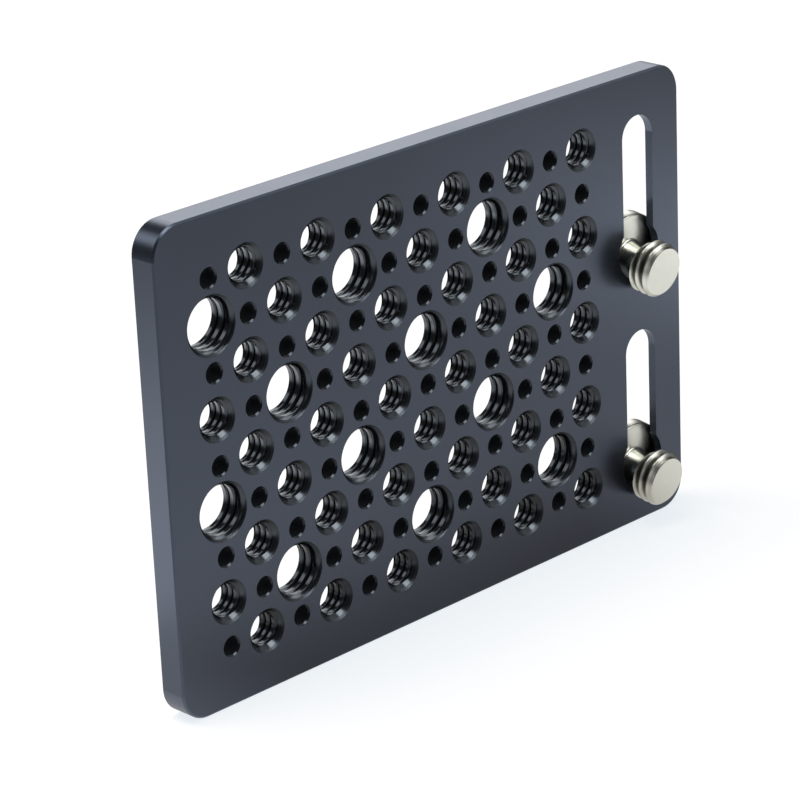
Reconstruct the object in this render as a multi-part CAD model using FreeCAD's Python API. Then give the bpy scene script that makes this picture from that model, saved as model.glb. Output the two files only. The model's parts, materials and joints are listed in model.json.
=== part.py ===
import FreeCAD, Part
import math
import os

# Camera mounting plate: a flat aluminium plate, drilled and tapped all over on a square grid, that stands on
# its long edge. Two captive screws slide in two keyhole slots at its right-hand end, and their heads run
# in a channel in the back. Each screw hangs loose at the foot of its slot, with its tip drooping.
# Millimetres. X runs to the right along the plate, Y from its front face to its back, Z up.
# The origin is in the middle of the edge that the plate stands on.

# Plate
PLATE_THICKNESS = 5.0
CORNER_RADIUS = 5.0
EDGE_BREAK = 0.3

# Grid of holes, counted from the top left
HOLE_COLUMNS = 12
HOLE_ROWS = 9
HOLE_PITCH = 7.5
LEFT_MARGIN = 10.5
TOP_MARGIN = 10.0
BOTTOM_MARGIN = 10.0
PLAIN_HOLE_DIAMETER = 3.5
QUARTER_INCH_DIAMETER = 6.35
QUARTER_INCH_COUNTERSINK = 0.475
THREE_EIGHTHS_DIAMETER = 9.525
THREE_EIGHTHS_COUNTERSINK = 0.1525
LARGE_HOLE_REPEAT = 4

# Slots for the captive screws, each with a keyhole at its foot
LAST_COLUMN_TO_SLOT = 14.0
SLOT_TO_RIGHT_EDGE = 10.5
SLOT_WIDTH = 7.5
SLOT_END_MARGIN = 11.0
SLOT_LAND = 18.0
KEYHOLE_DIAMETER = 10.0
LIP_THICKNESS = 1.5

# Captive screws
HEAD_DIAMETER = 15.0
HEAD_THICKNESS = 2.4
HEAD_BEVEL = 0.3
COIN_SLOT_WIDTH = 1.6
COIN_SLOT_DEPTH = 1.0
NECK_DIAMETER = 5.6
NECK_LENGTH = 4.45
NECK_FLARE = 0.5
SCREW_THREAD_DIAMETER = 9.45
SCREW_THREAD_LENGTH = 3.75
TIP_BEVEL = 0.6
THREAD_END_BEVEL = 0.25
DROOP_DEGREES = 8.5

# Room for the screws to move
NECK_CLEARANCE = 0.3
LIP_CLEARANCE = 0.1
HEAD_SIDE_CLEARANCE = 0.5

# Sizes that follow from those above
PLATE_WIDTH = LEFT_MARGIN + (HOLE_COLUMNS - 1) * HOLE_PITCH + LAST_COLUMN_TO_SLOT + SLOT_TO_RIGHT_EDGE
PLATE_HEIGHT = TOP_MARGIN + (HOLE_ROWS - 1) * HOLE_PITCH + BOTTOM_MARGIN
FRONT = -PLATE_THICKNESS / 2
BACK = PLATE_THICKNESS / 2
SLOT_X = PLATE_WIDTH / 2 - SLOT_TO_RIGHT_EDGE
SLOT_LENGTH = (PLATE_HEIGHT - 2 * SLOT_END_MARGIN - SLOT_LAND) / 2
LOWER_KEYHOLE_Z = SLOT_END_MARGIN
UPPER_KEYHOLE_Z = LOWER_KEYHOLE_Z + SLOT_LENGTH + SLOT_LAND
KEYHOLE_RADIUS = KEYHOLE_DIAMETER / 2
HEAD_RADIUS = HEAD_DIAMETER / 2
NECK_RADIUS = NECK_DIAMETER / 2
DROOP = math.radians(DROOP_DEGREES)

# Where a drooping screw's axis crosses the front face, above the middle of its keyhole: the neck lies on
# the keyhole's lower edge, and the top of the head leans on the back of the lip.
AXIS_RISE = NECK_CLEARANCE + NECK_RADIUS / math.cos(DROOP) - KEYHOLE_RADIUS
HEAD_SET_BACK = (LIP_THICKNESS + LIP_CLEARANCE + HEAD_RADIUS * math.sin(DROOP)) / math.cos(DROOP)
HEAD_RISE = AXIS_RISE + (HEAD_SET_BACK + HEAD_THICKNESS / 2) * math.sin(DROOP)

INTO_PLATE = FreeCAD.Vector(0, 1, 0)


def place(x, y, z):
    return FreeCAD.Vector(x, y, z)


def plate_blank():
    """Rounded rectangle, extruded through the thickness, with every outer edge broken."""
    block = Part.makeBox(PLATE_WIDTH, PLATE_THICKNESS, PLATE_HEIGHT, place(-PLATE_WIDTH / 2, FRONT, 0))
    corners = [edge for edge in block.Edges if edge.BoundBox.YLength > PLATE_THICKNESS / 2]
    rounded = block.makeFillet(CORNER_RADIUS, corners)
    rims = [edge for edge in rounded.Edges if edge.BoundBox.YLength < PLATE_THICKNESS / 2]
    return rounded.makeChamfer(EDGE_BREAK, rims)


def through_hole(x, z, diameter):
    return Part.makeCylinder(diameter / 2, PLATE_THICKNESS, place(x, FRONT, z), INTO_PLATE)


def countersink(x, z, diameter, depth):
    """A cone at 45 degrees, so it is as much wider than its hole at the front face as it is deep."""
    return Part.makeCone(diameter / 2 + depth, diameter / 2, depth, place(x, FRONT, z), INTO_PLATE)


def hole_grid():
    """Plain holes on one colour of a chessboard, tapped holes on the other; one tapped hole in four of the
    odd rows is the larger thread, shifted by half its repeat from one such row to the next."""
    cuts = []
    for row in range(HOLE_ROWS):
        for column in range(HOLE_COLUMNS):
            x = -PLATE_WIDTH / 2 + LEFT_MARGIN + column * HOLE_PITCH
            z = PLATE_HEIGHT - TOP_MARGIN - row * HOLE_PITCH
            if (row + column) % 2 == 0:
                cuts.append(through_hole(x, z, PLAIN_HOLE_DIAMETER))
            elif row % 2 == 1 and (column - row + 1) % LARGE_HOLE_REPEAT == 0:
                cuts.append(through_hole(x, z, THREE_EIGHTHS_DIAMETER))
                cuts.append(countersink(x, z, THREE_EIGHTHS_DIAMETER, THREE_EIGHTHS_COUNTERSINK))
            else:
                cuts.append(through_hole(x, z, QUARTER_INCH_DIAMETER))
                cuts.append(countersink(x, z, QUARTER_INCH_DIAMETER, QUARTER_INCH_COUNTERSINK))
    return cuts


def keyhole_slot(keyhole_z):
    """A straight slot with a round end at the top and a wider round keyhole at the foot."""
    half = SLOT_WIDTH / 2
    top_z = keyhole_z + SLOT_LENGTH
    neck_z = keyhole_z + math.sqrt(KEYHOLE_RADIUS**2 - half**2)
    left_top = place(SLOT_X - half, FRONT, top_z)
    right_top = place(SLOT_X + half, FRONT, top_z)
    left_foot = place(SLOT_X - half, FRONT, neck_z)
    right_foot = place(SLOT_X + half, FRONT, neck_z)
    outline = Part.Wire([
        Part.Arc(left_top, place(SLOT_X, FRONT, top_z + half), right_top).toShape(),
        Part.LineSegment(right_top, right_foot).toShape(),
        Part.Arc(right_foot, place(SLOT_X, FRONT, keyhole_z - KEYHOLE_RADIUS), left_foot).toShape(),
        Part.LineSegment(left_foot, left_top).toShape(),
    ])
    return Part.Face(outline).extrude(INTO_PLATE * PLATE_THICKNESS)


def head_channel():
    """One round-ended groove in the back for both heads, from the lower head's lowest place to the upper
    head's highest, with the same room round the head at each end as at the sides."""
    radius = HEAD_RADIUS + HEAD_SIDE_CLEARANCE
    slide = SLOT_LENGTH + SLOT_WIDTH / 2 - NECK_RADIUS / math.cos(DROOP) - AXIS_RISE
    low_z = LOWER_KEYHOLE_Z + HEAD_RISE
    high_z = UPPER_KEYHOLE_Z + HEAD_RISE + slide
    floor_y = FRONT + LIP_THICKNESS
    depth = BACK - floor_y
    ends = [Part.makeCylinder(radius, depth, place(SLOT_X, floor_y, z), INTO_PLATE) for z in (low_z, high_z)]
    middle = Part.makeBox(2 * radius, depth, high_z - low_z, place(SLOT_X - radius, floor_y, low_z))
    return middle.fuse(ends).removeSplitter()


def drilled_plate():
    slots = [keyhole_slot(LOWER_KEYHOLE_Z), keyhole_slot(UPPER_KEYHOLE_Z)]
    return plate_blank().cut(hole_grid() + slots + [head_channel()])


def captive_screw(keyhole_z):
    """Turned in one piece: a flat head with a coin slot, a thin neck that runs in the slot, and a short
    stub of thread that is too wide for the slot. Its axis is Y before it droops, with the tip at -Y."""
    head_y = HEAD_SET_BACK
    head_back_y = head_y + HEAD_THICKNESS
    thread_y = head_y - NECK_LENGTH
    tip_y = thread_y - SCREW_THREAD_LENGTH
    thread_radius = SCREW_THREAD_DIAMETER / 2
    outline = [
        place(NECK_RADIUS, head_y - NECK_FLARE, 0),
        place(NECK_RADIUS + NECK_FLARE, head_y, 0),
        place(HEAD_RADIUS - HEAD_BEVEL, head_y, 0),
        place(HEAD_RADIUS, head_y + HEAD_BEVEL, 0),
        place(HEAD_RADIUS, head_back_y - HEAD_BEVEL, 0),
        place(HEAD_RADIUS - HEAD_BEVEL, head_back_y, 0),
        place(0, head_back_y, 0),
        place(0, tip_y, 0),
        place(thread_radius - TIP_BEVEL, tip_y, 0),
        place(thread_radius, tip_y + TIP_BEVEL, 0),
        place(thread_radius, thread_y - THREAD_END_BEVEL, 0),
        place(thread_radius - THREAD_END_BEVEL, thread_y, 0),
        place(NECK_RADIUS, thread_y, 0),
    ]
    half_section = Part.Face(Part.makePolygon(outline + outline[:1]))
    turned = half_section.revolve(place(0, 0, 0), INTO_PLATE, 360)
    coin_slot = Part.makeBox(
        HEAD_DIAMETER, COIN_SLOT_DEPTH, COIN_SLOT_WIDTH,
        place(-HEAD_RADIUS, head_back_y - COIN_SLOT_DEPTH, -COIN_SLOT_WIDTH / 2),
    )
    screw = turned.cut(coin_slot)
    screw.rotate(place(0, 0, 0), place(1, 0, 0), DROOP_DEGREES)
    screw.translate(place(SLOT_X, FRONT, keyhole_z + AXIS_RISE))
    return screw


nodes = {
    "plate": drilled_plate(),
    "upper_captive_screw": captive_screw(UPPER_KEYHOLE_Z),
    "lower_captive_screw": captive_screw(LOWER_KEYHOLE_Z),
}
os.makedirs("parts", exist_ok=True)
for name, shape in nodes.items():
    shape.exportStep(f"parts/{name}.step")
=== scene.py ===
import json
import math

import bmesh
import bpy
import numpy as np
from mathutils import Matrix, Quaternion, Vector


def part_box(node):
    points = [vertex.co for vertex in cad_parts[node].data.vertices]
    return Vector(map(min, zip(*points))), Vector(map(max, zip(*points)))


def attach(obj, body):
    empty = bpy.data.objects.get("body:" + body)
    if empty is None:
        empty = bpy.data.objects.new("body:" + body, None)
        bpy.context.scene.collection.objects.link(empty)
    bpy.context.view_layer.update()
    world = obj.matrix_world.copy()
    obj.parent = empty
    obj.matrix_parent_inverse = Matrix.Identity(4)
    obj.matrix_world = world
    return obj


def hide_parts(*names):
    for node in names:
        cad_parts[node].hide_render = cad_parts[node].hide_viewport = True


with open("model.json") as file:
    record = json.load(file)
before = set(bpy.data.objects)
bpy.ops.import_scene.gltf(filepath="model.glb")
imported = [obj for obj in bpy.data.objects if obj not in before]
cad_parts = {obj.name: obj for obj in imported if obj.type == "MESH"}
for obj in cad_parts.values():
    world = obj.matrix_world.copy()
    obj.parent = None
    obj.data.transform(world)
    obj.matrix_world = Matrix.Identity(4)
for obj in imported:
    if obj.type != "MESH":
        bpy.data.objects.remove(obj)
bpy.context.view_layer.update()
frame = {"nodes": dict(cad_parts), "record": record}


# Plate
# A flat aluminium plate, milled and drilled all over, then finely blasted and anodised black. Its form is
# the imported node's own; this section gives it the satin finish of dyed oxide over the blasted skin.

class Wire:
    """One socket of a node tree. Sums on it add Math nodes, and node() adds any other node."""

    def __init__(self, tree, socket=None):
        self.tree = tree
        self.socket = socket

    def node(self, kind, settings, sockets):
        """Adds a node: its settings are set first, then its sockets get their values or links."""
        made = self.tree.nodes.new(kind)
        for name, value in settings.items():
            setattr(made, name, value)
        for name, value in sockets.items():
            if isinstance(value, Wire):
                self.tree.links.new(value.socket, made.inputs[name])
            else:
                made.inputs[name].default_value = value
        return Wire(self.tree, next(iter(made.outputs), None))

    def __getitem__(self, output):
        """Another output of the node that this socket belongs to."""
        return Wire(self.tree, self.socket.node.outputs[output])

    def math(self, operation, first, second=0.0):
        return self.node("ShaderNodeMath", {"operation": operation}, {0: first, 1: second})

    def __add__(self, other):
        return self.math("ADD", self, other)

    def __sub__(self, other):
        return self.math("SUBTRACT", self, other)

    def __rsub__(self, other):
        return self.math("SUBTRACT", other, self)

    def __mul__(self, other):
        return self.math("MULTIPLY", self, other)

    def __pow__(self, other):
        return self.math("POWER", self, other)

    __radd__ = __add__
    __rmul__ = __mul__

    def noise(self, place, grain, detail=2.0):
        """Smooth noise from 0 to 1, whose features are about as wide as grain, in metres."""
        return self.node("ShaderNodeTexNoise", {}, {"Vector": place, "Scale": 1 / grain, "Detail": detail})

    def blend(self, amount, first, second):
        """A colour between two colours, by an amount from 0 to 1; each is a socket or three numbers."""
        colours = [colour if isinstance(colour, Wire) else (*colour, 1.0) for colour in (first, second)]
        sockets = {0: amount, 6: colours[0], 7: colours[1]}
        return self.node("ShaderNodeMix", {"data_type": "RGBA"}, sockets)[2]

    def fade(self, value, start, end):
        """A smooth step from 0, where the value is start, to 1, where it is end."""
        ends = {"Value": value, "From Min": start, "From Max": end}
        return self.node("ShaderNodeMapRange", {"interpolation_type": "SMOOTHSTEP"}, ends)

    def relief(self, height, depth):
        """A normal for a height from 0 to 1 that stands for a depth in metres."""
        return self.node("ShaderNodeBump", {}, {"Height": height, "Distance": depth})


def new_finish(name):
    """An empty material, as a wire to build on."""
    material = bpy.data.materials.new(name)
    material.use_nodes = True
    material.node_tree.nodes.clear()
    return material, Wire(material.node_tree)


def oxide_finish(name, tint, ior, roughness, bore_roughness, blast_depth):
    """Black dyed oxide on aluminium: a near-black body under a clear hard skin that gives the gloss. Below
    the front face a hole takes the roughness of its bore."""
    material, wire = new_finish(name)
    place = wire.node("ShaderNodeTexCoord", {}, {})["Object"]
    cloud = wire.noise(place, CLOUD_GRAIN)
    blast = wire.noise(place, BLAST_GRAIN, detail=1.0)
    depth = wire.node("ShaderNodeSeparateXYZ", {}, {"Vector": place})["Y"] - plate_low.y
    inner = (bore_roughness - roughness) * wire.fade(depth, BORE_TOP, BORE_FOOT)
    skin = wire.node("ShaderNodeBsdfPrincipled", {}, {
        "Base Color": wire.blend(cloud, DYE_DARK, DYE_LIGHT),
        "Roughness": roughness + inner + ROUGHNESS_SPREAD * (cloud + blast - 1),
        "Normal": wire.relief(blast, blast_depth),
        "IOR": ior,
        "Specular Tint": (*tint, 1.0),
    })
    wire.node("ShaderNodeOutputMaterial", {}, {"Surface": skin})
    return material


DYE_DARK = (0.004, 0.005, 0.008)
DYE_LIGHT = (0.007, 0.009, 0.013)
PLATE_TINT = (0.635, 0.75, 1.0)
PLATE_IOR = 2.26
PLATE_ROUGHNESS = 0.33
ROUGHNESS_SPREAD = 0.05
CLOUD_GRAIN = 0.009
BLAST_GRAIN = 0.00018
BLAST_DEPTH = 0.0000015
BORE_TOP = 0.0002
BORE_FOOT = 0.0004

plate = frame["nodes"]["plate"]
plate_low, plate_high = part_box("plate")
thickness = plate_high.y - plate_low.y
satin = oxide_finish(
    "black_anodised_satin", PLATE_TINT, PLATE_IOR, PLATE_ROUGHNESS, PLATE_ROUGHNESS, BLAST_DEPTH,
)
plate.material_slots[0].material = satin


# Threads in the tapped holes
# Quarter-inch and three-eighths camera threads, countersunk and tapped through the plate by one program, so
# all start at the same angle. Each is a thin sleeve in its drilled hole, anodised too but smoother than the
# faces.

def hole_family(kind):
    """Radius of the holes of a kind, and X and Z of each, from their patterns: one or two holes each way, a
    spacing apart, centred on the mount."""
    mounts = [mount for mount in frame["record"]["mounts"] if mount["name"].startswith(kind)]
    found = set()
    for mount in mounts:
        x, _, z = mount["pos_m"]
        half_x = mount["dims"].get("spacing_x_mm", 0.0) / 2000
        half_z = mount["dims"].get("spacing_y_mm", 0.0) / 2000
        found |= {(round(x + a * half_x, 6), round(z + b * half_z, 6)) for a in (-1, 1) for b in (-1, 1)}
    return mounts[0]["dims"]["hole_r_mm"] / 1000, np.array(sorted(found))


def thread_height(turns, section):
    """Height of a thread, 1 on its crest and 0 at its root, by turns from the crest's middle; the section
    lists turns and heights from crest to root."""
    away = np.abs((turns + 0.5) % 1.0 - 0.5)
    return np.interp(away, *section)


def thread_rows(first_crest, turns, section):
    """Places along a thread at angle 0, in turns: every corner of its section, from two turns before its
    start, because a row moves on by a turn as it goes round."""
    corners = np.concatenate([-section[0][::-1], section[0]])
    crests = np.arange(-2, math.ceil(turns) + 2) + first_crest
    return np.add.outer(crests, corners).ravel()


def grid_faces(rows, columns, copies=1, ring=False):
    """Four-cornered faces of a grid of points stored row by row; a ring also joins its last row to its
    first."""
    row, column = np.meshgrid(np.arange(rows if ring else rows - 1), np.arange(columns - 1), indexing="ij")
    near = row * columns + column
    far = (row + 1) % rows * columns + column
    one = np.stack([near, near + 1, far + 1, far], axis=-1).reshape(-1, 4)
    return np.add.outer(np.arange(copies) * rows * columns, one.ravel()).reshape(-1, 4)


def new_piece(name, points, faces, material, sharp_angle):
    """A mesh object at the origin: equal points are merged, so seams and poles close, and faces look
    out."""
    mesh = bpy.data.meshes.new(name)
    mesh.from_pydata(points.reshape(-1, 3), [], faces)
    welded = bmesh.new()
    welded.from_mesh(mesh)
    bmesh.ops.remove_doubles(welded, verts=welded.verts, dist=WELD_DISTANCE)
    bmesh.ops.dissolve_degenerate(welded, edges=welded.edges, dist=WELD_DISTANCE)
    bmesh.ops.recalc_face_normals(welded, faces=welded.faces)
    welded.to_mesh(mesh)
    welded.free()
    mesh.shade_smooth()
    mesh.set_sharp_from_angle(angle=sharp_angle)
    mesh.materials.append(material)
    piece = bpy.data.objects.new(name, mesh)
    bpy.context.scene.collection.objects.link(piece)
    return piece


def sleeves(name, centres, depth, reach, angle, finish, sharp_angle):
    """Copies of one sleeve, a surface given by depth and radius on a grid round the axis, in each hole."""
    shape = np.stack([reach * np.sin(angle), plate_low.y + depth, reach * np.cos(angle)], axis=-1)
    middles = np.stack([centres[:, 0], np.zeros(len(centres)), centres[:, 1]], axis=-1)
    points = middles[:, None, None, :] + shape
    faces = grid_faces(*depth.shape, copies=len(centres), ring=True)
    piece = new_piece(name, points, faces, finish, sharp_angle)
    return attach(piece, "plate")


def tapped_threads(kind, pitch, countersink, first_crest, columns):
    """Sleeves with a thread inside. Radius at an angle and a depth: the root's radius less the thread's
    height there, but never inside the 45 degree cones of the countersink in front and the broken edge
    behind. Rows run along the helix, a pitch deeper for each turn, and stop at the two faces of the plate;
    a last row closes the back."""
    radius, centres = hole_family(kind)
    root = radius - SLEEVE_WALL
    angle = np.linspace(0.0, 2 * math.pi, columns + 1)
    climb = pitch * angle / (2 * math.pi)
    rows = thread_rows(first_crest, thickness / pitch, TAPPED_SECTION) * pitch
    depth = np.clip(rows[:, None] + climb, 0.0, thickness)
    turns = (depth - climb) / pitch - first_crest
    reach = root - TAPPED_DEPTH * pitch * thread_height(turns, TAPPED_SECTION)
    reach = np.maximum(reach, root + countersink - depth)
    reach = np.maximum(reach, root - TAPPED_DEPTH * pitch + BACK_BREAK - (thickness - depth))
    depth = np.vstack([depth, np.full_like(angle, thickness)])
    reach = np.vstack([reach, np.full_like(angle, root)])
    name = kind.removesuffix("_holes") + "_threads"
    return sleeves(name, centres, depth, reach, angle, tapped_finish, THREAD_SHARP_ANGLE)


TAPPED_SECTION = np.array([[0.22, 0.245, 0.34, 0.435, 0.46], [1.0, 0.94, 0.5, 0.06, 0.0]])
TAPPED_DEPTH = 0.39
BACK_BREAK = 0.0001
SLEEVE_WALL = 0.00003
WELD_DISTANCE = 0.0000002
THREAD_SHARP_ANGLE = math.radians(38)
HOLE_TINT = (0.78, 0.89, 1.0)
TAPPED_IOR = 1.7
TAPPED_ROUGHNESS = 0.2
COUNTERSINK_ROUGHNESS = 0.37
TAPPED_BLAST_DEPTH = 0.0000005
INCH = 0.0254
QUARTER_INCH_PITCH = INCH / 20
QUARTER_INCH_COUNTERSINK = 0.000475
QUARTER_INCH_FIRST_CREST = 0.0
THREE_EIGHTHS_PITCH = INCH / 16
THREE_EIGHTHS_COUNTERSINK = 0.0001525
THREE_EIGHTHS_FIRST_CREST = 0.376

tapped_finish = oxide_finish(
    "black_anodised_thread", HOLE_TINT, TAPPED_IOR,
    COUNTERSINK_ROUGHNESS, TAPPED_ROUGHNESS, TAPPED_BLAST_DEPTH,
)
tapped_threads(
    "quarter_inch_holes", QUARTER_INCH_PITCH, QUARTER_INCH_COUNTERSINK, QUARTER_INCH_FIRST_CREST,
    columns=48,
)
tapped_threads(
    "three_eighths_holes", THREE_EIGHTHS_PITCH, THREE_EIGHTHS_COUNTERSINK, THREE_EIGHTHS_FIRST_CREST,
    columns=80,
)


# Plain holes
# Through holes between the tapped ones, drilled and chamfered at both faces, with smooth chamfers and dull
# black bores. Each has a lining that narrows from the drilled edge to the bore.

def plain_linings(kind, columns):
    """Sleeves with a straight bore that opens at 45 degrees to the hole's radius at both faces."""
    radius, centres = hole_family(kind)
    angle = np.linspace(0.0, 2 * math.pi, columns + 1)
    row_depth = np.array([0.0, HOLE_CHAMFER, thickness - HOLE_CHAMFER, thickness])
    row_reach = radius - HOLE_CHAMFER * np.array([0.0, 1.0, 1.0, 0.0])
    depth = np.broadcast_to(row_depth[:, None], (len(row_depth), len(angle)))
    reach = np.broadcast_to(row_reach[:, None], depth.shape)
    name = kind.removesuffix("_holes") + "_linings"
    return sleeves(name, centres, depth, reach, angle, drilled_finish, LINING_SHARP_ANGLE)


HOLE_CHAMFER = 0.00025
LINING_SHARP_ANGLE = math.radians(30)
DRILLED_IOR = 1.5
DRILLED_ROUGHNESS = 0.8

drilled_finish = oxide_finish(
    "black_anodised_bore", HOLE_TINT, DRILLED_IOR, TAPPED_ROUGHNESS, DRILLED_ROUGHNESS, TAPPED_BLAST_DEPTH,
)
plain_linings("plain_holes", columns=40)


# Captive screws
# Turned from bright steel in one piece: a flat head with a coin slot, a thin neck and a short stub of
# three-eighths thread. Each hangs in its keyhole slot and slides with its own body.

def arc_rows(centre, radius, start_degrees, end_degrees, steps):
    """Rows of a turned profile round an arc, as distance along the axis and radius."""
    turn = np.radians(np.linspace(start_degrees, end_degrees, steps))
    return np.stack([centre[0] + radius * np.cos(turn), centre[1] + radius * np.sin(turn)], axis=-1)


def line_rows(start, end, steps):
    """Rows of a turned profile along a straight line."""
    return np.linspace(start, end, steps)


def screw_columns():
    """Angles up one side of a screw, and whether each lies in the coin slot, whose two edges are doubled so
    that its walls stand upright."""
    edge = math.asin(COIN_SLOT_WIDTH / 2 / (HEAD_RADIUS - HEAD_ROUND))
    side = np.linspace(edge, math.pi / 2, SIDE_COLUMNS)
    slot = np.linspace(-edge, edge, SLOT_COLUMNS)
    half = np.concatenate([-side[::-1], slot, side])
    inside = np.concatenate([np.zeros(SIDE_COLUMNS), np.ones(SLOT_COLUMNS), np.zeros(SIDE_COLUMNS)]) > 0
    return half, inside


def turned_screw(name, stud, node, body):
    """A profile carried round the screw's axis, with a helical thread between two of its rows: the radius
    there is the crest's less the groove's depth, and never outside the 45 degree bevels at its ends. The
    back of the head is a disc of straight rows across the slot, which dip to its floor."""
    half, half_inside = screw_columns()
    angle = np.concatenate([half, math.pi - half[::-1]])
    inside = np.concatenate([half_inside, half_inside[::-1]])
    crest = stud["dims"]["r_mm"] / 1000
    half_stud = stud["dims"]["length_mm"] / 2000
    tip = half_stud + TIP_BEVEL
    foot = -half_stud - THREAD_END_BEVEL
    head_front = foot - NECK_LENGTH
    head_back = head_front - HEAD_THICKNESS
    slot_floor = head_back + COIN_SLOT_DEPTH
    cap_edge = HEAD_RADIUS - HEAD_ROUND

    climb = THREE_EIGHTHS_PITCH * angle / (2 * math.pi)
    rows = thread_rows(SCREW_FIRST_CREST, (tip - foot) / THREE_EIGHTHS_PITCH, SCREW_SECTION)[::-1]
    along = np.clip(foot + rows[:, None] * THREE_EIGHTHS_PITCH + climb, foot, tip)
    turns = (along - climb - foot) / THREE_EIGHTHS_PITCH - SCREW_FIRST_CREST
    groove = SCREW_THREAD_DEPTH * THREE_EIGHTHS_PITCH * (1 - thread_height(turns, SCREW_SECTION))
    reach = np.minimum(crest - groove, crest - TIP_BEVEL + (tip - along))
    reach = np.minimum(reach, crest - THREAD_END_BEVEL + (along - foot))

    back_rows = np.concatenate([
        line_rows((foot, NECK_RADIUS), (head_front + NECK_FILLET, NECK_RADIUS), NECK_ROWS),
        arc_rows((head_front + NECK_FILLET, NECK_RADIUS + NECK_FILLET), NECK_FILLET, 270, 180, FILLET_ROWS),
        line_rows((head_front, NECK_RADIUS + NECK_FILLET), (head_front, cap_edge), FACE_ROWS),
        arc_rows((head_front - HEAD_ROUND, cap_edge), HEAD_ROUND, 0, 90, ROUND_ROWS),
        arc_rows((head_back + HEAD_ROUND, cap_edge), HEAD_ROUND, 90, 180, ROUND_ROWS),
    ])
    tip_reach = np.linspace(0.0, 1.0, FACE_ROWS)[:, None] * reach[0]
    tip_along = np.full_like(tip_reach, tip)
    back_along, back_reach = np.broadcast_to(back_rows.T[:, :, None], (2, len(back_rows), len(angle)))
    along = np.concatenate([tip_along, along, back_along])
    reach = np.concatenate([tip_reach, reach, back_reach])
    along = np.where(inside, np.maximum(along, slot_floor), along)

    across = np.linspace(-1.0, 1.0, CAP_COLUMNS)
    cap_side = cap_edge * np.cos(half)[:, None] * across
    cap_up = np.broadcast_to((cap_edge * np.sin(half))[:, None], cap_side.shape)
    cap_along = np.broadcast_to(np.where(half_inside, slot_floor, head_back)[:, None], cap_side.shape)

    axis = np.array(stud["axis"])
    side_way = np.array([1.0, 0.0, 0.0])
    up_way = np.cross(axis, side_way)
    side = np.concatenate([(reach * np.cos(angle)).ravel(), cap_side.ravel()])
    up = np.concatenate([(reach * np.sin(angle)).ravel(), cap_up.ravel()])
    ahead = np.concatenate([along.ravel(), cap_along.ravel()])
    ways = np.stack([side_way, up_way, axis])
    points = np.array(stud["pos_m"]) + np.stack([side, up, ahead], axis=-1) @ ways
    cap_faces = grid_faces(len(half), CAP_COLUMNS) + along.size
    faces = np.concatenate([grid_faces(*along.shape), cap_faces])
    piece = new_piece(name, points, faces, steel_finish(name + "_steel", stud), SCREW_SHARP_ANGLE)
    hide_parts(node)
    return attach(piece, body)


def steel_finish(name, stud):
    """Satin steel with fine rings left by the turning tool, about the screw's own axis, a polished neck and
    painted shade, a darker colour in the roots of the thread."""
    material, wire = new_finish(name)
    place = wire.node("ShaderNodeTexCoord", {}, {})["Object"]
    droop = math.atan2(-stud["axis"][2], -stud["axis"][1])
    own = wire.node("ShaderNodeMapping", {"vector_type": "TEXTURE"}, {
        "Vector": place, "Location": stud["pos_m"], "Rotation": (droop, 0.0, 0.0),
    })
    side = wire.node("ShaderNodeSeparateXYZ", {}, {"Vector": own})
    ahead, up = side["Y"], side["Z"]
    from_axis = (side * side + up * up) ** 0.5
    rings = wire.math("SINE", (from_axis + ahead) * (2 * math.pi / TOOL_FEED))
    thread_end = stud["dims"]["length_mm"] / 2000 + THREAD_END_BEVEL
    tip = -stud["dims"]["length_mm"] / 2000 - TIP_BEVEL
    thread_depth = SCREW_THREAD_DEPTH * THREE_EIGHTHS_PITCH
    root = stud["dims"]["r_mm"] / 1000 - thread_depth
    # Painted shade: the colour darkens towards the roots of the thread, where the grooves lie in shade.
    low = wire.fade(from_axis, root + ROOT_SHADE_TOP * thread_depth, root + ROOT_SHADE_FOOT * thread_depth)
    threaded = wire.fade(ahead, tip, tip + TIP_BEVEL)
    threaded = threaded * wire.fade(ahead, thread_end, thread_end - THREAD_END_BEVEL)
    neck_end = thread_end + NECK_LENGTH
    neck = wire.fade(ahead, thread_end, thread_end + NECK_FILLET)
    neck = neck * wire.fade(ahead, neck_end, neck_end - NECK_FILLET)
    cloud = wire.noise(place, STEEL_CLOUD_GRAIN)
    speck = wire.noise(place, STEEL_SPECK_GRAIN)
    metal = wire.node("ShaderNodeBsdfPrincipled", {}, {
        # The base colour carries painted shade in the roots of the thread.
        "Base Color": wire.blend(low * threaded, wire.blend(cloud, STEEL_DARK, STEEL_LIGHT), ROOT_SHADE_STEEL),
        "Metallic": 1.0,
        "Roughness": STEEL_ROUGHNESS + STEEL_ROUGHNESS_SPREAD * (cloud - 0.5) - NECK_POLISH * neck,
        "Normal": wire.relief(RING_SHARE * rings + speck, TOOL_DEPTH),
    })
    wire.node("ShaderNodeOutputMaterial", {}, {"Surface": metal})
    return material


HEAD_RADIUS = 0.0075
HEAD_THICKNESS = 0.0024
HEAD_ROUND = 0.0003
COIN_SLOT_WIDTH = 0.0016
COIN_SLOT_DEPTH = 0.001
NECK_RADIUS = 0.0028
NECK_LENGTH = 0.00445
NECK_FILLET = 0.0005
TIP_BEVEL = 0.0006
THREAD_END_BEVEL = 0.00025
SCREW_SECTION = np.array([
    [0.01, 0.05, 0.085, 0.115, 0.27, 0.43, 0.46],
    [1.0, 0.98, 0.92, 0.85, 0.455, 0.05, 0.0],
])
SCREW_THREAD_DEPTH = 0.6
SCREW_FIRST_CREST = 0.41
SIDE_COLUMNS = 36
SLOT_COLUMNS = 5
CAP_COLUMNS = 17
FACE_ROWS = 9
NECK_ROWS = 4
FILLET_ROWS = 7
ROUND_ROWS = 5
SCREW_SHARP_ANGLE = math.radians(38)
STEEL_DARK = (0.62, 0.625, 0.56)
STEEL_LIGHT = (0.71, 0.715, 0.65)
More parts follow.
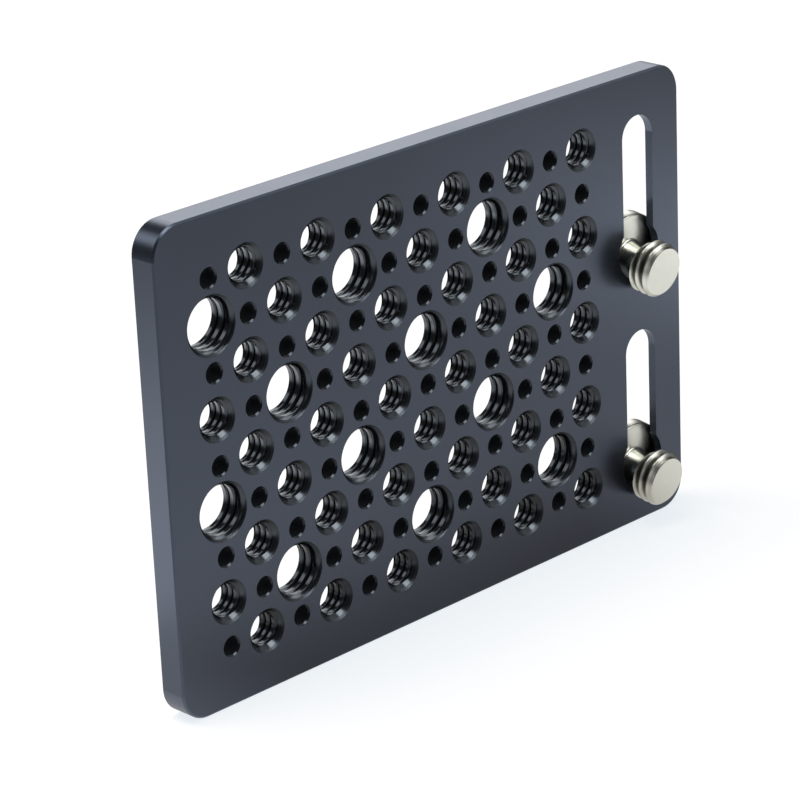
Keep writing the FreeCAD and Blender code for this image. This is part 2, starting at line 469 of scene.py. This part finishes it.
# The darker colour painted into the roots of the thread as shade, and the depths where it begins and is
# full.
ROOT_SHADE_STEEL = (0.2, 0.195, 0.16)
ROOT_SHADE_TOP = 0.65
ROOT_SHADE_FOOT = 0.25
STEEL_ROUGHNESS = 0.3
NECK_POLISH = 0.08
STEEL_ROUGHNESS_SPREAD = 0.1
STEEL_CLOUD_GRAIN = 0.0015
STEEL_SPECK_GRAIN = 0.00012
TOOL_FEED = 0.00011
TOOL_DEPTH = 0.0000012
RING_SHARE = 0.35

studs = {mount["name"]: mount for mount in frame["record"]["mounts"] if mount["kind"] == "pin"}
turned_screw("upper_turned_screw", studs["upper_stud"], "upper_captive_screw", "upper_screw")
turned_screw("lower_turned_screw", studs["lower_stud"], "lower_captive_screw", "lower_screw")


# Floor
# A plain white studio floor. The camera sees it white, with the plate's soft shadow. Reflections see it
# only close to the plate, where it is in shade, and further out they see the white surround.

FLOOR_HALF = 1.2
FLOOR_MATT = (0.34, 0.27, 0.21, 1.0)
FLOOR_GLOW = (0.74, 0.80, 0.85, 1.0)
SHADE_NEAR = 0.002
SHADE_FAR = 0.045
SHADE_LEFT = -0.028
SHADE_RIGHT = 0.03
SHADE_CLEAR = 0.3

floor_mesh = bpy.data.meshes.new("studio_floor")
floor_corners = [(-FLOOR_HALF, -FLOOR_HALF, 0), (FLOOR_HALF, -FLOOR_HALF, 0)]
floor_corners += [(FLOOR_HALF, FLOOR_HALF, 0), (-FLOOR_HALF, FLOOR_HALF, 0)]
floor_mesh.from_pydata(floor_corners, [], [(0, 1, 2, 3)])
floor = bpy.data.objects.new("studio_floor", floor_mesh)
bpy.context.scene.collection.objects.link(floor)
floor_material, wire = new_finish("white_floor")
ray = wire.node("ShaderNodeLightPath", {}, {})
matt = wire.node("ShaderNodeBsdfDiffuse", {}, {"Color": FLOOR_MATT})
glow = wire.node("ShaderNodeEmission", {}, {"Color": FLOOR_GLOW})
white = wire.node("ShaderNodeAddShader", {}, {0: matt, 1: glow})
seen = ray["Is Camera Ray"] + ray["Is Transmission Ray"]
shown = wire.node("ShaderNodeMixShader", {}, {0: seen, 1: matt, 2: white})
place = wire.node("ShaderNodeTexCoord", {}, {})["Object"]
across = wire.node("ShaderNodeSeparateXYZ", {}, {"Vector": place})
past_end = wire.math("MAXIMUM", SHADE_LEFT - across, across - SHADE_RIGHT)
from_plate = wire.math("MAXIMUM", wire.math("ABSOLUTE", across["Y"]), past_end)
shade = 1 - wire.fade(from_plate, SHADE_NEAR, SHADE_FAR)
clear = ray["Is Glossy Ray"] * (1 - (1 - SHADE_CLEAR) * shade)
through = wire.node("ShaderNodeBsdfTransparent", {}, {})
surface = wire.node("ShaderNodeMixShader", {}, {0: clear, 1: shown, 2: through})
wire.node("ShaderNodeOutputMaterial", {}, {"Surface": surface})
floor_mesh.materials.append(floor_material)


# Light
# An even white surround for shade and background. In reflections it is a white table under a dim ceiling.
# Soft boxes stand behind the plate and hang in front of it and to its right, and white cards lie beside
# its ends.

SURROUND_LIGHT = 0.32
TABLE_GLOSS = 1.09
CEILING_GLOSS = 0.072
HORIZON_TOP = -0.22
HORIZON_FOOT = -0.5
# Each lamp has its place, the point it faces, its width and height, its radiance and the rays that see it
LAMPS = {
    "left_soft_box": ((-0.56, 0.80, 0.74), (0, 0, 0), (0.5, 0.5), 1.75, "glossy"),
    "right_soft_box": ((0.78, 0.87, 0.60), (0, 0, 0), (0.75, 0.75), 2.0, "glossy"),
    "back_soft_box": ((0.1, 1.1, 0.2), (0, 0, 0.05), (0.9, 0.35), 0.6, "glossy"),
    "front_soft_box": ((0.08, -0.62, 0.83), (0, 0, 0), (0.55, 0.28), 6.5, "glossy"),
    "side_soft_box": ((0.55, -0.70, 0.45), (0, 0, 0), (0.42, 0.42), 2.9, "glossy"),
    "high_soft_box": ((0.85, -0.28, 0.64), (0, 0, 0), (0.9, 0.7), 0.55, "glossy"),
    "front_card": ((-0.1, -1.0, 0.02), (0, 0, 0.02), (0.5, 0.25), 0.6, "glossy"),
    "left_card": ((-0.11, 0.085, 0.001), (-0.11, 0.085, 1), (0.15, 0.11), 0.65, "glossy"),
    "slot_card": ((-0.05, 0.105, 0.001), (-0.05, 0.105, 1), (0.05, 0.06), 1.0, "glossy"),
    "right_card": ((0.185, -0.092, 0.001), (0.185, -0.092, 1), (0.1, 0.1), 1.0, "glossy"),
    "shade_lamp": ((-0.25, 0.18, 0.9), (0, 0, 0), (0.6, 0.6), 6.6, "diffuse"),
}

world = bpy.data.worlds.new("white_surround")
bpy.context.scene.world = world
world.use_nodes = True
world.node_tree.nodes.clear()
wire = Wire(world.node_tree)
way = wire.node("ShaderNodeTexCoord", {}, {})["Generated"]
lift = wire.node("ShaderNodeSeparateXYZ", {}, {"Vector": way})["Z"]
gloss = CEILING_GLOSS + (TABLE_GLOSS - CEILING_GLOSS) * wire.fade(lift, HORIZON_TOP, HORIZON_FOOT)
ray = wire.node("ShaderNodeLightPath", {}, {})
seen = ray["Is Camera Ray"] + ray["Is Transmission Ray"]
glossy = ray["Is Glossy Ray"]
strength = seen + glossy * gloss + (1 - seen - glossy) * SURROUND_LIGHT
surround = wire.node("ShaderNodeBackground", {}, {"Color": (1.0, 1.0, 1.0, 1.0), "Strength": strength})
wire.node("ShaderNodeOutputWorld", {}, {"Surface": surround})

for name, (place, aim, (width, height), radiance, seen_by) in LAMPS.items():
    lamp = bpy.data.lights.new(name, "AREA")
    lamp.shape = "RECTANGLE"
    lamp.size = width
    lamp.size_y = height
    lamp.energy = radiance * math.pi * width * height
    box = bpy.data.objects.new(name, lamp)
    box.location = place
    box.rotation_mode = "QUATERNION"
    box.rotation_quaternion = (Vector(aim) - Vector(place)).to_track_quat("-Z", "Y")
    box.visible_camera = False
    box.visible_diffuse = seen_by == "diffuse"
    box.visible_glossy = seen_by == "glossy"
    bpy.context.scene.collection.objects.link(box)


# Camera
# It stands to the left of the plate and above it, with a long lens, tipped a little to one side.

CAMERA_PLACE = Vector((-0.35901, -0.36027, 0.22842))
CAMERA_AIM = Vector((-0.009704, -0.0025, 0.039235))
CAMERA_ROLL = math.radians(2.514)
CAMERA_LENS = 151.45

camera = bpy.data.objects.new("camera", bpy.data.cameras.new("camera"))
camera.data.lens = CAMERA_LENS
camera.location = CAMERA_PLACE
camera.rotation_mode = "QUATERNION"
aim = (CAMERA_AIM - CAMERA_PLACE).to_track_quat("-Z", "Y")
camera.rotation_quaternion = aim @ Quaternion((0, 0, 1), -CAMERA_ROLL)
bpy.context.scene.collection.objects.link(camera)
bpy.context.scene.camera = camera
bpy.context.scene.view_settings.view_transform = "Standard"
